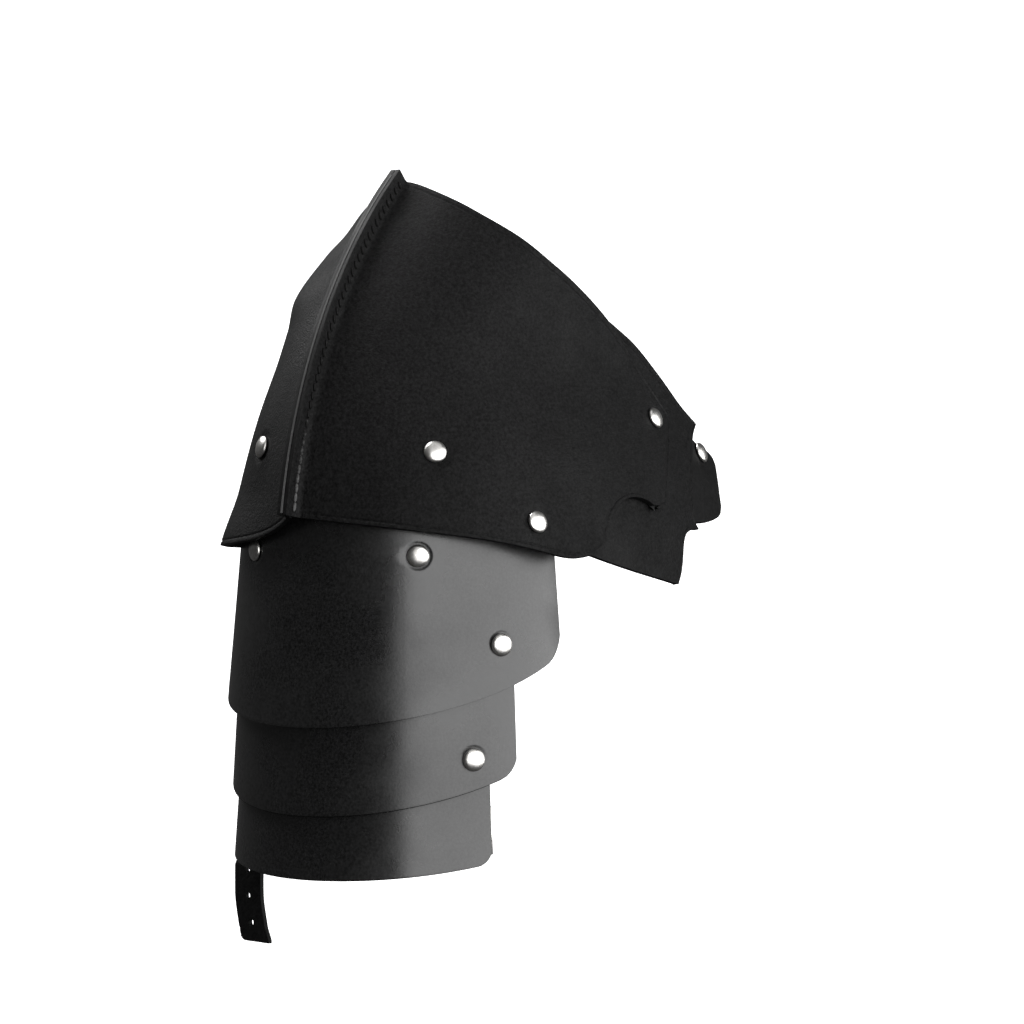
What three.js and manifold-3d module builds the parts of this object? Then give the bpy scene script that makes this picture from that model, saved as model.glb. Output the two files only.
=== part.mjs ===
// A black leather pauldron for the right shoulder: two stiff panels sewn along a raised ridge seam,
// a second leather layer under the front panel, a tab to the chest, three lames down the upper arm,
// the inner straps that carry them, a free arm strap with holes, and domed rivets.
// Millimetres, +Z up, -X outward from the wearer, -Y to the wearer's front. The arm hangs down the Z axis,
// and the origin is the point of the shoulder, under the ridge.
import * as THREE from "three";
import { mergeVertices } from "three/addons/utils/BufferGeometryUtils.js";
import Module from "manifold-3d";

const wasm = await Module();
wasm.setup();

// Leather and the room between two layers of it.
const PANEL_LEATHER = 2.6;
const LAME_LEATHER = 2.5;
const STRAP_LEATHER = 2.2;
const LAYER_GAP = 0.8;

// The ridge seam is an arc in the plane y = 0, seen from the wearer's front.
const RIDGE = { centreX: 178.5, centreZ: -160, radius: 277.2, topZ: 44, bottomZ: -122.5 };
const FIN_HEIGHT = 8; // both panels turn out here, and are stitched through
const SEAM_HALF_GAP = 0.2;

// A level cut through a panel: flat beside the ridge, then round the arm, then slow across the chest.
const CUT = {
  ridgeAngle: 30.4, // the front panel's turn away from the ridge, in degrees, at z = 0
  ridgeAnglePerMm: 0.065,
  flatTop: 20,
  flatBottom: 38.6,
  flatFromZ: -40,
  flatFall: 85,
  roundRadius: 90,
  roundEndAngle: 78,
  chestRadius: 400,
};
// The back panel's turn away from the ridge, by height: it bulges over the shoulder blade.
const BACK_TURNS = [
  { z: -140, angle: 21.5 },
  { z: -110, angle: 25 },
  { z: -66, angle: 24 },
  { z: -30, angle: 24 },
  { z: -12, angle: 22 },
  { z: 9.4, angle: 28 },
  { z: 21, angle: 33 },
  { z: 44, angle: 35 },
];
const FLARE = { depth: 2.5, fromZ: -108, fall: 30, reach: 60 };

// The outline away from the ridge, where w is the distance from the seam along a level cut.
const TOP_EDGE = [
  { share: 0, w: 2, z: 44 },
  { share: 0.05, w: 11, z: 41.4 },
  { share: 0.1, w: 32, z: 33.6 },
  { share: 0.15, w: 50, z: 26 },
  { share: 0.2, w: 73, z: 16.4 },
  { share: 0.25, w: 96, z: 6 },
  { share: 0.3, w: 123, z: -6 },
  { share: 0.34, w: 153, z: -21 },
  { share: 0.38, w: 182, z: -37.7 },
  { share: 0.41, w: 207, z: -54 },
  { share: 0.44, w: 231, z: -70.6 },
];
const FRONT_EDGE = [
  { share: 0.48, w: 227, z: -92 },
  { share: 0.52, w: 222, z: -113 },
  { share: 0.54, w: 220.5, z: -116.7 },
];
// The round notch in the lower edge: its middle and reaches, then how its turns share out the seam.
const NOTCH = { w: 191.5, z: -134.5, reachFront: 30, reachBack: 24, height: 22 };
const NOTCH_TURNS = [
  { share: 0.555, angle: 47 },
  { share: 0.58, angle: 62 },
  { share: 0.605, angle: 77 },
  { share: 0.64, angle: 95 },
  { share: 0.69, angle: 113 },
  { share: 0.75, angle: 131 },
  { share: 0.81, angle: 149 },
  { share: 0.88, angle: 165 },
  { share: 0.94, angle: 180 },
];
const FRONT_CORNER = { share: 1, w: 161.3, z: -139.1 };
const BACK_EDGE = [
  { share: 0.52, w: 226, z: -92 },
  { share: 0.62, w: 220, z: -112 },
  { share: 0.72, w: 213, z: -126 },
  { share: 0.8, w: 208, z: -133 },
  { share: 0.9, w: 201, z: -137.5 },
  { share: 1, w: 192, z: -139.5 },
];
const FRONT_BOW = { depth: 5, power: 5 };
const BACK_BOW = { depth: 12, settle: 22 };
const BOW_FROM_SHARE = 0.7;
const DROP_POWER = 12;
// Columns from the seam to the edge, as shares of the row's length: close together round the arm.
const PANEL_COLUMNS = [0.08, 0.15, 0.2, 0.25, 0.3, 0.35, 0.4, 0.45, 0.5, 0.56, 0.64, 0.74, 0.87, 1];

// The second layer lies under the front panel and shows along its chest edge and lower corner.
const UNDERLAY_HIDDEN = { topW: 112, topZ: -14, bottomW: 108, bottomZ: -126 };
const UNDERLAY_EDGE = [
  { share: 0, w: 130, z: -13 },
  { share: 0.05, w: 152, z: -19.3 },
  { share: 0.1, w: 172.3, z: -26.8 },
  { share: 0.16, w: 193, z: -34.8 },
  { share: 0.23, w: 225.4, z: -50 },
  { share: 0.31, w: 252.2, z: -64.3 },
  { share: 0.37, w: 271, z: -72.7 },
  { share: 0.43, w: 265, z: -79 },
  { share: 0.52, w: 260.4, z: -91.2 },
  { share: 0.62, w: 257.7, z: -107.1 },
  { share: 0.72, w: 256.7, z: -124.5 },
  { share: 0.75, w: 260, z: -128.2 },
  { share: 0.79, w: 252, z: -128.2 },
  { share: 0.83, w: 244.7, z: -130.4 },
  { share: 0.88, w: 241.3, z: -135.5 },
  { share: 0.93, w: 240.2, z: -142.2 },
  { share: 0.97, w: 238.3, z: -149.9 },
  { share: 1, w: 234.7, z: -156 },
];
const UNDERLAY_COLUMNS = 9;
const UNDERLAY_BOW = 2.5;

// The tab that fastens the front to the chest: it starts behind the second layer.
const TAB_EDGE = [
  { w: 203, topZ: -61, bottomZ: -98 },
  { w: 220, topZ: -64, bottomZ: -110 },
  { w: 240, topZ: -69, bottomZ: -119 },
  { w: 258, topZ: -75, bottomZ: -123.5 },
  { w: 275, topZ: -80, bottomZ: -124 },
  { w: 290, topZ: -84, bottomZ: -122.5 },
  { w: 302, topZ: -88.5, bottomZ: -119.5 },
  { w: 306, topZ: -93, bottomZ: -115 },
];
const TAB_ROWS = 4;

// Lames, from the cap down. Angles are degrees round the arm from straight out, plus to the front.
const LAMES = [
  {
    name: "lame_upper",
    topZ: -116,
    bottomZ: -222.7,
    radiusTop: 84,
    taper: 0.085,
    front: 89.5,
    back: 92,
    rise: 0.0043,
    corner: 12,
  },
  {
    name: "lame_middle",
    topZ: -172,
    bottomZ: -265.2,
    radiusTop: 85.3,
    taper: 0.0527,
    front: 70.7,
    back: 80,
    rise: 0.0042,
    corner: 9,
  },
  {
    name: "lame_lower",
    topZ: -228,
    bottomZ: -295.6,
    radiusTop: 84.6,
    taper: 0.068,
    front: 62,
    back: 74,
    rise: 0.0022,
    corner: 7.5,
  },
];
const LAME_COLUMN_STEP = 7.5;
const LAME_ROWS = 4;
const LAME_TOP_CORNER = 6;
const CORNER_COLUMNS = [0, 0.08, 0.3, 0.62, 1]; // shares of a rounded corner's radius

// Rivets: a domed cap, a shank and a small tail cap.
const RIVET = {
  headRadius: 5.4,
  headHeight: 2.5,
  shankRadius: 1.8,
  tailRadius: 4,
  tailHeight: 1.2,
  seat: 0.45,
  sides: 12,
};
const HOLE_CLEARANCE = 0.3;
const HOLE_LENGTH = 26;
const PANEL_RIVETS = [
  { name: "rivet_panel_front", side: 1, w: 63.1, z: -91.5, layers: ["panel", "strap"] },
  { name: "rivet_panel_low", side: 1, w: 119.3, z: -124.8, layers: ["panel", "panel"] },
  { name: "rivet_panel_chest", side: 1, w: 213.8, z: -72.1, layers: ["panel", "panel", "tab"] },
  { name: "rivet_panel_back", side: -1, w: 38, z: -88.3, layers: ["panel", "strap"] },
];
const TAB_RIVET = { name: "rivet_tab", w: 282.9, z: -86.5 };
const LAME_RIVETS = [
  { name: "rivet_upper_front", lame: 0, angle: 38.3, z: -140.8, behind: "strap" },
  { name: "rivet_upper_back", lame: 0, angle: -26.5, z: -138.5, behind: "strap" },
  { name: "rivet_middle_front", lame: 0, angle: 64.8, z: -183.2, behind: "lame" },
  { name: "rivet_middle_back", lame: 0, angle: -72, z: -183.2, behind: "lame" },
  { name: "rivet_lower_front", lame: 1, angle: 55.7, z: -237.5, behind: "lame_and_tab" },
  { name: "rivet_lower_back", lame: 1, angle: -66, z: -237.5, behind: "lame_and_strap" },
];

// Straps. The inner two hang the lames from the cap, and the arm strap's free end hangs at the back.
const INNER_STRAPS = [
  { name: "inner_strap_front", side: 1, fromRivet: 0, toRivet: 0 },
  { name: "inner_strap_back", side: -1, fromRivet: 3, toRivet: 1 },
];
const INNER_STRAP = { width: 20, atRadius: 80, past: 11, clearOfLame: 5, rows: 12, columns: 4 };
const ARM_STRAP = { topZ: -228.5, endZ: -336.5, width: 20, angle: -66, rows: 24 };
// It turns to face outward inside the lowest lame, swings out below it, and curls a little at its end.
const STRAP_TURN = { angle: 56, inset: 9.8, fromZ: -244, toZ: -284 };
const STRAP_SWING = { depth: 9.5, fromZ: -285, toZ: -299 };
const STRAP_CURL = { depth: 4, fromZ: -312, toZ: -336.5 };
const STRAP_HOLE = { radius: 1.6, lowestZ: -327, pitch: 13.3, count: 4 };

// The hidden end that the arm strap fastens to: a short tab looped round the bar of a plain buckle.
const BUCKLE_TAB = { topZ: -228.5, width: 18, inset: 0.7, loopStart: 0.65, loopSegments: 7 };
const BUCKLE_SLOT = { width: 4, depth: 8.6, height: 12.9 };
const BUCKLE = { barZ: -262, width: 25.4, height: 23, frame: 2.4, thickness: 2.4, tongue: 2 };
const BUCKLE_CLEARANCE = 0.4;

const LEATHER = { color: 0x141414, roughness: 0.62, metalness: 0 };
const GLOSSY_LEATHER = { color: 0x161616, roughness: 0.38, metalness: 0 };
const RIVET_METAL = { color: 0xc9c7c2, roughness: 0.3, metalness: 1 };

const radians = THREE.MathUtils.degToRad;
const smooth = (t) => THREE.MathUtils.smoothstep(t, 0, 1);
const lerp = THREE.MathUtils.lerp;

// A point of the ridge arc at a height, moved out from the arc by some millimetres.
function ridgePoint(z, out) {
  const angle = Math.asin((z - RIDGE.centreZ) / RIDGE.radius);
  const radius = RIDGE.radius + out;
  return new THREE.Vector3(
    RIDGE.centreX - radius * Math.cos(angle),
    0,
    RIDGE.centreZ + radius * Math.sin(angle),
  );
}

function ridgeTurn(side, z) {
  if (side > 0) return radians(CUT.ridgeAngle + CUT.ridgeAnglePerMm * z);
  const above = BACK_TURNS.findIndex((row) => row.z > z);
  const last = BACK_TURNS.length - 1;
  const k = Math.max(above < 0 ? last : above, 1);
  const [low, high] = [BACK_TURNS[k - 1], BACK_TURNS[k]];
  const share = THREE.MathUtils.clamp((z - low.z) / (high.z - low.z), 0, 1);
  return radians(lerp(low.angle, high.angle, share));
}

// The panels' outer face: side is 1 for the front panel and -1 for the back one.
function shoulderFace(side, w, z) {
  const start = ridgeTurn(side, z);
  const end = radians(CUT.roundEndAngle);
  const flat = lerp(CUT.flatTop, CUT.flatBottom, smooth((CUT.flatFromZ - z) / CUT.flatFall));
  const flatPart = Math.min(w, flat);
  let x = ridgePoint(z, 0).x + flatPart * Math.sin(start);
  let y = SEAM_HALF_GAP + PANEL_LEATHER + flatPart * Math.cos(start);
  let turn = start;
  if (w > flat) {
    turn = Math.min(start + (w - flat) / CUT.roundRadius, end);
    x += CUT.roundRadius * (Math.cos(start) - Math.cos(turn));
    y += CUT.roundRadius * (Math.sin(turn) - Math.sin(start));
  }
  const across = w - flat - (end - start) * CUT.roundRadius;
  if (across > 0) {
    turn = end + across / CUT.chestRadius;
    x += CUT.chestRadius * (Math.cos(end) - Math.cos(turn));
    y += CUT.chestRadius * (Math.sin(turn) - Math.sin(end));
  }
  const flare = FLARE.depth * smooth((FLARE.fromZ - z) / FLARE.fall) * smooth(w / FLARE.reach);
  return new THREE.Vector3(x - flare * Math.cos(turn), -side * (y + flare * Math.sin(turn)), z);
}

// The way out of a panel's outer face, square to it.
function shoulderNormal(side, w, z) {
  const step = 0.5;
  const along = shoulderFace(side, w + step, z).sub(shoulderFace(side, Math.max(w - step, 0), z));
  const up = shoulderFace(side, w, z + step).sub(shoulderFace(side, w, z - step));
  return along.cross(up).multiplyScalar(side).normalize();
}

const shoulderPoint = (side, w, z, depth) =>
  shoulderFace(side, w, z).addScaledVector(shoulderNormal(side, w, z), -depth);

// A closed wall from two grids of points of one size, the outer face's and the inner face's.
function wall(outer, inner) {
  const rows = outer.length;
  const columns = outer[0].length;
  const points = [...outer.flat(), ...inner.flat()];
  const at = (layer, row, column) => (layer * rows + row) * columns + column;
  const index = [];
  const quad = (a, b, c, d) => index.push(a, b, c, a, c, d);
  for (let r = 0; r + 1 < rows; r++) {
    for (let c = 0; c + 1 < columns; c++) {
      quad(at(0, r, c), at(0, r + 1, c), at(0, r + 1, c + 1), at(0, r, c + 1));
      quad(at(1, r, c), at(1, r, c + 1), at(1, r + 1, c + 1), at(1, r + 1, c));
    }
    quad(at(0, r, 0), at(1, r, 0), at(1, r + 1, 0), at(0, r + 1, 0));
    const last = columns - 1;
    quad(at(0, r, last), at(0, r + 1, last), at(1, r + 1, last), at(1, r, last));
  }
  for (let c = 0; c + 1 < columns; c++) {
    quad(at(0, 0, c), at(0, 0, c + 1), at(1, 0, c + 1), at(1, 0, c));
    quad(at(0, rows - 1, c), at(1, rows - 1, c), at(1, rows - 1, c + 1), at(0, rows - 1, c + 1));
  }
  return facingOut(new THREE.BufferGeometry().setFromPoints(points).setIndex(index));
}

// The same geometry with its faces turned round if they point inwards.
function facingOut(geometry) {
  const position = geometry.getAttribute("position");
  const index = geometry.index.array;
  const [a, b, c] = [new THREE.Vector3(), new THREE.Vector3(), new THREE.Vector3()];
  let volume = 0;
  for (let i = 0; i < index.length; i += 3) {
    a.fromBufferAttribute(position, index[i]);
    b.fromBufferAttribute(position, index[i + 1]);
    c.fromBufferAttribute(position, index[i + 2]);
    volume += a.dot(b.cross(c));
  }
  if (volume < 0)
    for (let i = 0; i < index.length; i += 3)
      [index[i + 1], index[i + 2]] = [index[i + 2], index[i + 1]];
  return geometry;
}

function solidOf(geometry) {
  const bare = new THREE.BufferGeometry()
    .setAttribute("position", geometry.getAttribute("position"))
    .setIndex(geometry.index);
  const merged = mergeVertices(bare, 1e-4);
  return new wasm.Manifold(
    new wasm.Mesh({
      numProp: 3,
      vertProperties: new Float32Array(merged.getAttribute("position").array),
      triVerts: new Uint32Array(merged.index.array),
    }),
  );
}

function geometryOf(solid) {
  const mesh = solid.getMesh();
  return new THREE.BufferGeometry()
    .setAttribute("position", new THREE.BufferAttribute(new Float32Array(mesh.vertProperties), 3))
    .setIndex(new THREE.BufferAttribute(new Uint32Array(mesh.triVerts), 1));
}

// A geometry whose own +Z is turned to a direction and whose origin is moved to a point.
function stood(geometry, point, direction) {
  const turn = new THREE.Quaternion().setFromUnitVectors(new THREE.Vector3(0, 0, 1), direction);
  return geometry.applyQuaternion(turn).translate(point.x, point.y, point.z);
}

function drill(geometry, holes) {
  let solid = solidOf(geometry);
  for (const hole of holes) {
    const pin = new THREE.CylinderGeometry(hole.radius, hole.radius, hole.length, RIVET.sides);
    solid = solid.subtract(solidOf(stood(pin.rotateX(Math.PI / 2), hole.point, hole.direction)));
  }
  return geometryOf(solid);
}

// One rivet, from its seat on the outer face through a stack of leather.
function rivetGeometry(stack) {
  const { headRadius, headHeight, shankRadius, tailRadius, tailHeight, seat, sides } = RIVET;
  const tail = -stack - seat;
  const profile = [
    [0, seat + headHeight],
    [headRadius * 0.5, seat + headHeight * 0.86],
    [headRadius * 0.87, seat + headHeight * 0.48],
    [headRadius, seat],
    [shankRadius, seat],
    [shankRadius, tail],
    [tailRadius, tail],
    [tailRadius * 0.8, tail - tailHeight],
    [0, tail - tailHeight],
  ];
  const points = profile.reverse().map(([radius, height]) => new THREE.Vector2(radius, height));
  return new THREE.LatheGeometry(points, sides).rotateX(Math.PI / 2);
}

const group = new THREE.Group();
function add(name, geometry, look) {
  geometry.computeVertexNormals();
  const mesh = new THREE.Mesh(geometry, new THREE.MeshStandardMaterial(look));
  mesh.name = name;
  group.add(mesh);
}

const holeAt = (point, direction, radius = RIVET.shankRadius + HOLE_CLEARANCE) => ({
  point,
  direction,
  radius,
  length: HOLE_LENGTH,
});

// Rivets through the panels.
const layerThickness = { panel: PANEL_LEATHER, strap: STRAP_LEATHER, tab: STRAP_LEATHER };
const stackOf = (layers) =>
  layers.reduce((sum, layer) => sum + layerThickness[layer], 0) + LAYER_GAP * (layers.length - 1);
const panelRivets = PANEL_RIVETS.map((rivet) => ({
  ...rivet,
  point: shoulderPoint(rivet.side, rivet.w, rivet.z, 0),
  direction: shoulderNormal(rivet.side, rivet.w, rivet.z),
  stack: stackOf(rivet.layers),
}));
const underlayDepth = PANEL_LEATHER + LAYER_GAP;
const tabDepth = 2 * underlayDepth;
const tabRivet = {
  name: TAB_RIVET.name,
  point: shoulderPoint(1, TAB_RIVET.w, TAB_RIVET.z, tabDepth),
  direction: shoulderNormal(1, TAB_RIVET.w, TAB_RIVET.z),
  stack: STRAP_LEATHER,
};

// The cap's two panels.
const notchEdge = NOTCH_TURNS.map(({ share, angle }) => {
  const [across, up] = [Math.cos(radians(angle)), Math.sin(radians(angle))];
  const reach = across > 0 ? NOTCH.reachFront : NOTCH.reachBack;
  return { share, w: NOTCH.w + reach * across, z: NOTCH.z + NOTCH.height * up };
});

function bow(side, s, w) {
  if (side > 0) return -FRONT_BOW.depth * Math.sin(Math.PI * s ** FRONT_BOW.power);
  return -BACK_BOW.depth * (1 - Math.exp(-w / BACK_BOW.settle)) * (1 - s);
}

// Rows that end past the notch's top run over it first, and only then drop to their ends.
const NOTCH_TOP = NOTCH.z + NOTCH.height;
const dropOf = (side, end) => (side > 0 && end.w > NOTCH.w ? Math.max(0, NOTCH_TOP - end.z) : 0);

function panel(side, edge) {
  const outer = [];
  const inner = [];
  for (const end of edge) {
    const seamZ = lerp(RIDGE.topZ, RIDGE.bottomZ, end.share);
    const lowness = Math.max(0, (end.share - BOW_FROM_SHARE) / (1 - BOW_FROM_SHARE)) ** 2;
    const tip = ridgePoint(seamZ, FIN_HEIGHT);
    const drop = dropOf(side, end);
    const outerY = -side * (SEAM_HALF_GAP + PANEL_LEATHER);
    const innerY = -side * SEAM_HALF_GAP;
    const start = shoulderPoint(side, 0, seamZ, PANEL_LEATHER);
    const back = (Math.abs(start.y) - SEAM_HALF_GAP) * Math.tan(ridgeTurn(side, seamZ));
    const outerRow = [new THREE.Vector3(tip.x, outerY, tip.z), shoulderFace(side, 0, seamZ)];
    const innerCrease = new THREE.Vector3(start.x - back, innerY, start.z);
    const innerRow = [new THREE.Vector3(tip.x, innerY, tip.z), innerCrease];
    for (const s of PANEL_COLUMNS) {
      const w = s * end.w;
      const z = lerp(seamZ, end.z + drop, s) - drop * s ** DROP_POWER + bow(side, s, w) * lowness;
      outerRow.push(shoulderPoint(side, w, z, 0));
      innerRow.push(shoulderPoint(side, w, z, PANEL_LEATHER));
    }
    outer.push(outerRow);
    inner.push(innerRow);
  }
  return wall(outer, inner);
}

const holesOf = (rivets) => rivets.map((rivet) => holeAt(rivet.point, rivet.direction));
const panelHoles = (side) => holesOf(panelRivets.filter((rivet) => rivet.side === side));
const frontRows = [...TOP_EDGE, ...FRONT_EDGE, ...notchEdge, FRONT_CORNER];
add("front_panel", drill(panel(1, frontRows), panelHoles(1)), LEATHER);
add("back_panel", drill(panel(-1, [...TOP_EDGE, ...BACK_EDGE]), panelHoles(-1)), LEATHER);

// A wall that lies behind the front panel, its rows given as pairs of end points.
function layered(rowEnds, columns, depth, thickness, sag = 0) {
  const grid = (extra) =>
    rowEnds.map(([from, to, low]) =>
      Array.from({ length: columns + 1 }, (_, c) => {
        const s = c / columns;
        const z = lerp(from.z, to.z, s) - sag * low * Math.sin(Math.PI * s);
        return shoulderPoint(1, lerp(from.w, to.w, s), z, depth + extra);
      }),
    );
  return wall(grid(0), grid(thickness));
}

const underlayRows = UNDERLAY_EDGE.map((end) => [
  {
    w: lerp(UNDERLAY_HIDDEN.topW, UNDERLAY_HIDDEN.bottomW, end.share),
    z: lerp(UNDERLAY_HIDDEN.topZ, UNDERLAY_HIDDEN.bottomZ, end.share),
  },
  end,
  end.share ** 4,
]);
const underlayRivets = panelRivets.filter((rivet) => rivet.side === 1 && rivet.layers[1] === "panel");
const underlay = layered(underlayRows, UNDERLAY_COLUMNS, underlayDepth, PANEL_LEATHER, UNDERLAY_BOW);
add("front_underlay", drill(underlay, holesOf(underlayRivets)), LEATHER);

const tabRows = TAB_EDGE.map((end) => [{ w: end.w, z: end.topZ }, { w: end.w, z: end.bottomZ }, 0]);
const tab = layered(tabRows, TAB_ROWS, tabDepth, STRAP_LEATHER);
add("chest_tab", drill(tab, holesOf([underlayRivets[1], tabRivet])), LEATHER);

// Lames.
const lameRadius = (lame, z) => lame.radiusTop + lame.taper * (lame.topZ - z);

function armPoint(angle, radius, z) {
  return new THREE.Vector3(-radius * Math.cos(radians(angle)), -radius * Math.sin(radians(angle)), z);
}

// How far a corner of some radius lifts an edge, at a distance from the lame's end.
const cornerLift = (radius, distance) =>
  distance < radius ? radius - Math.sqrt(radius ** 2 - (radius - distance) ** 2) : 0;

function lameGeometry(lame) {
  const perMm = 180 / (Math.PI * lameRadius(lame, lame.bottomZ));
  const corner = CORNER_COLUMNS.map((share) => share * lame.corner * perMm);
  const first = -lame.back + corner.at(-1);
  const last = lame.front - corner.at(-1);
  const steps = Math.round((last - first) / LAME_COLUMN_STEP);
  const middle = Array.from({ length: steps - 1 }, (_, k) => lerp(first, last, (k + 1) / steps));
  const [backEnd, frontEnd] = [corner.map((a) => a - lame.back), corner.map((a) => lame.front - a).reverse()];
  const angles = [...backEnd, ...middle, ...frontEnd];
  const grid = (depth) =>
    Array.from({ length: LAME_ROWS + 1 }, (_, r) =>
      angles.map((angle) => {
        const distance = Math.min(angle + lame.back, lame.front - angle) / perMm;
        const top = lame.topZ - cornerLift(LAME_TOP_CORNER, distance);
        const bottom = lame.bottomZ + lame.rise * angle ** 2 + cornerLift(lame.corner, distance);
        const z = lerp(top, bottom, r / LAME_ROWS);
        return armPoint(angle, lameRadius(lame, z) - depth, z);
      }),
    );
  return wall(grid(0), grid(LAME_LEATHER));
}

const lameRivets = LAME_RIVETS.map((rivet) => {
  const outerLame = LAMES[rivet.lame];
  const radius = lameRadius(outerLame, rivet.z);
  const innerRadius =
    rivet.behind === "strap" ? radius - LAME_LEATHER - LAYER_GAP : lameRadius(LAMES[rivet.lame + 1], rivet.z);
  const hanging = LAME_LEATHER + LAYER_GAP + STRAP_LEATHER;
  const innerLeather = {
    strap: STRAP_LEATHER,
    lame: LAME_LEATHER,
    lame_and_strap: hanging,
    lame_and_tab: hanging + BUCKLE_TAB.inset,
  }[rivet.behind];
  return {
    ...rivet,
    point: armPoint(rivet.angle, radius, rivet.z),
    direction: armPoint(rivet.angle, 1, 0),
    stack: radius - innerRadius + innerLeather,
  };
});

LAMES.forEach((lame, k) => {
  const passes = (rivet) => rivet.lame === k || (rivet.behind !== "strap" && rivet.lame + 1 === k);
  add(lame.name, drill(lameGeometry(lame), holesOf(lameRivets.filter(passes))), GLOSSY_LEATHER);
});

const SEARCH = { reach: 140, halvings: 24 };

// The inner face of a panel as a radius from the arm's axis, at an angle and a height.
function panelInnerRadius(side, angle, z) {
  let [low, high] = [0, SEARCH.reach];
  for (let k = 0; k < SEARCH.halvings; k++) {
    const middle = (low + high) / 2;
    const point = shoulderPoint(side, middle, z, PANEL_LEATHER);
    if (Math.atan2(Math.abs(point.y), -point.x) < radians(Math.abs(angle))) low = middle;
    else high = middle;
  }
  const point = shoulderPoint(side, low, z, PANEL_LEATHER);
  return Math.hypot(point.x, point.y);
}

// An inner strap hugs whatever is outside it: the panel above, and the upper lame below.
function innerStrap({ side, fromRivet, toRivet }) {
  const from = panelRivets[fromRivet];
  const to = lameRivets[toRivet];
  const fromAngle = THREE.MathUtils.radToDeg(Math.atan2(-from.point.y, -from.point.x));
  const slope = (to.angle - fromAngle) / (to.z - from.z);
  const topZ = from.z + INNER_STRAP.past;
  const bottomZ = to.z - INNER_STRAP.past;
  const grid = (depth) =>
    Array.from({ length: INNER_STRAP.rows + 1 }, (_, r) => {
      const z = lerp(topZ, bottomZ, r / INNER_STRAP.rows);
      const middle = fromAngle + slope * (z - from.z);
      return Array.from({ length: INNER_STRAP.columns + 1 }, (_, c) => {
        const beside = (c / INNER_STRAP.columns - 0.5) * INNER_STRAP.width;
        const angle = middle + THREE.MathUtils.radToDeg(beside / INNER_STRAP.atRadius);
        const lame = LAMES[0];
        const reaches = [panelInnerRadius(side, angle, z)];
        if (z < lame.topZ + INNER_STRAP.clearOfLame)
          reaches.push(lameRadius(lame, Math.min(z, lame.topZ)) - LAME_LEATHER);
        return armPoint(angle, Math.min(...reaches) - LAYER_GAP - depth, z);
      });
    });
  return drill(wall(grid(0), grid(STRAP_LEATHER)), holesOf([from, to]));
}

for (const strap of INNER_STRAPS) add(strap.name, innerStrap(strap), LEATHER);

// The radius of the lowest lame's inner face, less the gap to what hangs against it.
const insideLowest = (z) => lameRadius(LAMES[2], Math.max(z, LAMES[2].bottomZ)) - LAME_LEATHER - LAYER_GAP;

const passed = (z, stretch) => smooth((stretch.fromZ - z) / (stretch.fromZ - stretch.toZ));

// The arm strap's middle line at a height, with the ways across it and out of its face.
function armStrapLine(z) {
  const turned = passed(z, STRAP_TURN);
  const facing = ARM_STRAP.angle + STRAP_TURN.angle * turned;
  const radius = insideLowest(z) - STRAP_TURN.inset * turned + STRAP_SWING.depth * passed(z, STRAP_SWING);
  const out = armPoint(facing, 1, 0);
  const across = armPoint(facing + 90, 1, 0);
  const curl = STRAP_CURL.depth * passed(z, STRAP_CURL);
  const centre = armPoint(ARM_STRAP.angle, radius, z).addScaledVector(across, curl);
  return { turned, out, across, centre };
}

// The arm strap hangs from the lowest lame's back rivet, and its holed end hangs free.
function armStrap() {
  const grid = (depth) =>
    Array.from({ length: ARM_STRAP.rows + 1 }, (_, r) => {
      const z = lerp(ARM_STRAP.topZ, ARM_STRAP.endZ, r / ARM_STRAP.rows);
      const { turned, out, across, centre } = armStrapLine(z);
      return [-0.5, -0.25, 0, 0.25, 0.5].map((share) => {
        const bend = (1 - turned) * ((share * ARM_STRAP.width) ** 2 / (2 * insideLowest(z)));
        const beside = centre.clone().addScaledVector(across, share * ARM_STRAP.width);
        return beside.addScaledVector(out, -depth - bend);
      });
    });
  const holes = Array.from({ length: STRAP_HOLE.count }, (_, k) => {
    const { out, centre } = armStrapLine(STRAP_HOLE.lowestZ + k * STRAP_HOLE.pitch);
    return holeAt(centre, out, STRAP_HOLE.radius);
  });
  return drill(wall(grid(0), grid(STRAP_LEATHER)), [...holes, ...holesOf([lameRivets[5]])]);
}
add("arm_strap", armStrap(), LEATHER);

// The buckle and its tab are made round the bar's middle: +X across, +Y up, +Z outward.
const buckleRivet = lameRivets[4];
const barHole = Math.hypot(BUCKLE.frame, BUCKLE.thickness) / 2 + BUCKLE_CLEARANCE;
const loopRadius = barHole + STRAP_LEATHER;
function besideLowest(geometry) {
  const tilt = Math.atan(LAMES[2].taper);
  const radius = insideLowest(BUCKLE.barZ) - BUCKLE_TAB.inset - loopRadius;
  const place = armPoint(buckleRivet.angle, radius, BUCKLE.barZ);
  return geometry
    .rotateX(Math.PI / 2 - tilt)
    .rotateZ(radians(buckleRivet.angle) - Math.PI / 2)
    .translate(place.x, place.y, place.z);
}

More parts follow.
